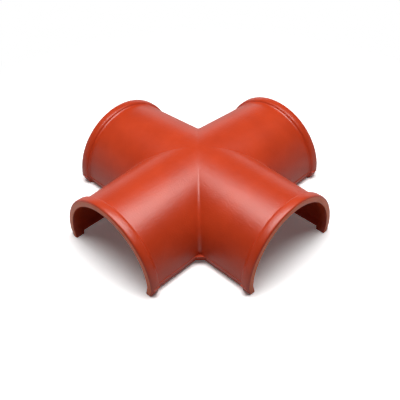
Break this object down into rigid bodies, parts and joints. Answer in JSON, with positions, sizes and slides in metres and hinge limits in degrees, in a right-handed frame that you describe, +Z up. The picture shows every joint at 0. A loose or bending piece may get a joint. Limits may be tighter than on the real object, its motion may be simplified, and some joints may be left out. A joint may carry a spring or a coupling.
{
  "type": "four-way ridge tile",
  "caption": "Half-round ridge tile that branches into a cross, covering the point where roof ridges meet; thin hollow shell with a thick rounded collar on the end of each arm.",
  "frame": {"origin": "on the bed plane, under the middle of the crossing", "axes": "+Z up, from the bed to the crown; +X and +Y along two of the arms"},
  "size_m": [0.43, 0.43, 0.1317],
  "materials": {
    "red_moulding": "satin, coloured through"
  },
  "bodies": {
    "root": {"ridge_tile": "red_moulding"}
  },
  "joints": []
}
